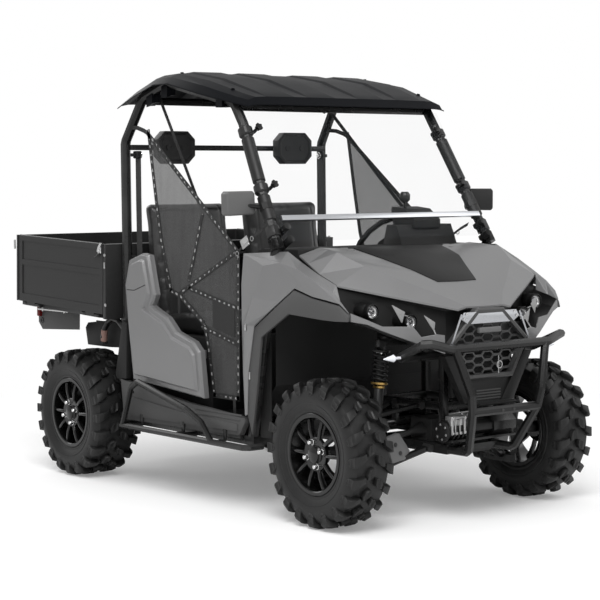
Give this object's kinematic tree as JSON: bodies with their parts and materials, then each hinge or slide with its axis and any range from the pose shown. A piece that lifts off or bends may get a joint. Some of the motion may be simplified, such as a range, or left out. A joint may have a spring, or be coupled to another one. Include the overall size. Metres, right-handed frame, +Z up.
{
  "type": "side by side utility vehicle",
  "caption": "Two-seat off-road utility vehicle with roll cage, roof, windscreen, tilting drop-side cargo box and steered front wheels.",
  "frame": {"origin": "ground level below the middle of the vehicle's box", "axes": "+Z up, the front faces -Y, +X to the vehicle's left"},
  "size_m": [1.57, 2.955, 1.9564],
  "materials": {
    "body_paint": "satin metallic grey moulded panel",
    "black_steel": "black powder coat",
    "dark_plastic": "grained black plastic",
    "black_insert": "matte black moulded insert",
    "cast_metal": "dark cast and painted metal",
    "seat_vinyl": "black vinyl",
    "wheel_grip": "moulded grip",
    "clear_screen": "clear hard-coated sheet",
    "lamp_lens": "clear lens",
    "net_webbing": "mesh and webbing",
    "tyre_rubber": "rubber",
    "gloss_rim": "gloss black"
  },
  "bodies": {
    "chassis": {"arch_trims": "dark_plastic", "controls": "dark_plastic", "dashboard": "dark_plastic", "door_nets": "net_webbing", "driveline": "cast_metal", "engine_block": "cast_metal", "floor_tub": "dark_plastic", "frame_rails": "black_steel", "front_bumper": "black_steel", "front_fenders": "body_paint", "front_frame": "black_steel", "front_lamps": "lamp_lens", "grille": "dark_plastic", "headrests": "black_steel", "hub_carriers": "black_steel", "indicators": "lamp_lens", "inner_fenders": "dark_plastic", "mirrors": "dark_plastic", "muffler": "cast_metal", "nose_cover": "dark_plastic", "rear_fenders": "dark_plastic", "rear_frame": "black_steel", "rockers": "dark_plastic", "roll_cage": "black_steel", "roof": "dark_plastic", "seat_backs": "seat_vinyl", "seat_base": "dark_plastic", "seat_belts": "net_webbing", "seat_cushions": "seat_vinyl", "shock_absorbers": "cast_metal", "side_bars": "black_steel", "side_panels": "body_paint", "skid_plate": "black_steel", "suspension_arms": "black_steel", "winch": "cast_metal", "windscreen": "clear_screen", "windscreen_fittings": "dark_plastic"},
    "hood": {"hood": "body_paint", "hood_insert": "black_insert"},
    "cargo_bed": {"cargo_bed": "black_steel", "tail_lamps": "lamp_lens"},
    "side_gate_left": {"side_gate_left": "black_steel"},
    "side_gate_right": {"side_gate_right": "black_steel"},
    "tailgate": {"tailgate": "black_steel"},
    "steering_wheel": {"steering_wheel": "wheel_grip"},
    "steering_rack": {"steering_rack": "cast_metal"},
    "knuckle_front_left": {"knuckle_front_left": "black_steel"},
    "knuckle_front_right": {"knuckle_front_right": "black_steel"},
    "wheel_front_left": {"tyre_front_left": "tyre_rubber", "rim_front_left": "gloss_rim"},
    "wheel_front_right": {"tyre_front_right": "tyre_rubber", "rim_front_right": "gloss_rim"},
    "wheel_rear_left": {"tyre_rear_left": "tyre_rubber", "rim_rear_left": "gloss_rim"},
    "wheel_rear_right": {"tyre_rear_right": "tyre_rubber", "rim_rear_right": "gloss_rim"}
  },
  "joints": [
    {"name": "hood_hinge", "type": "hinge", "parent": "chassis", "child": "hood", "pos_m": [0, -0.762, 1.144], "axis": [-1, 0, 0], "range_deg": [0, 55]},
    {"name": "bed_tilt", "type": "hinge", "parent": "chassis", "child": "cargo_bed", "pos_m": [0, 1.228, 0.79], "axis": [-1, 0, 0], "range_deg": [0, 40]},
    {"name": "tailgate_hinge", "type": "hinge", "parent": "cargo_bed", "child": "tailgate", "pos_m": [0, 1.43343, 0.83492], "axis": [-1, 0, 0], "range_deg": [0, 90]},
    {"name": "side_gate_left_hinge", "type": "hinge", "parent": "cargo_bed", "child": "side_gate_left", "pos_m": [0.692, 1.00225, 0.81836], "axis": [0, 0.9993, 0.0384], "range_deg": [0, 90]},
    {"name": "side_gate_right_hinge", "type": "hinge", "parent": "cargo_bed", "child": "side_gate_right", "pos_m": [-0.692, 1.00225, 0.81836], "axis": [0, -0.9993, -0.0384], "range_deg": [0, 90]},
    {"name": "steer_front_right", "type": "hinge", "parent": "chassis", "child": "knuckle_front_right", "pos_m": [-0.475, -1.002, 0.3125], "axis": [0, 0, 1], "range_deg": [-28, 28]},
    {"name": "steer_front_left", "type": "hinge", "parent": "chassis", "child": "knuckle_front_left", "pos_m": [0.475, -1.002, 0.3125], "axis": [0, 0, 1], "range_deg": [-28, 28]},
    {"name": "steering_wheel_turn", "type": "hinge", "parent": "chassis", "child": "steering_wheel", "pos_m": [0.33, -0.302, 1.13], "axis": [0, 0.8192, 0.5736], "range_deg": [-253, 253]},
    {"name": "rack_slide", "type": "slide", "parent": "chassis", "child": "steering_rack", "axis": [1, 0, 0], "range_m": [-0.054, 0.054]},
    {"name": "wheel_spin_front_left", "type": "hinge", "parent": "knuckle_front_left", "child": "wheel_front_left", "pos_m": [0.5845, -1.002, 0.3125], "axis": [1, 0, 0], "continuous": true},
    {"name": "wheel_spin_front_right", "type": "hinge", "parent": "knuckle_front_right", "child": "wheel_front_right", "pos_m": [-0.5845, -1.002, 0.3125], "axis": [1, 0, 0], "continuous": true},
    {"name": "wheel_spin_rear_left", "type": "hinge", "parent": "chassis", "child": "wheel_rear_left", "pos_m": [0.621, 0.878, 0.3125], "axis": [1, 0, 0], "continuous": true},
    {"name": "wheel_spin_rear_right", "type": "hinge", "parent": "chassis", "child": "wheel_rear_right", "pos_m": [-0.621, 0.878, 0.3125], "axis": [1, 0, 0], "continuous": true}
  ],
  "couplings": [
    {"joint": "steer_front_left", "follows": "steer_front_right", "ratio": 1},
    {"joint": "steering_wheel_turn", "follows": "steer_front_right", "ratio": 9},
    {"joint": "rack_slide", "follows": "steer_front_right", "m_per_rad": -0.10567}
  ]
}
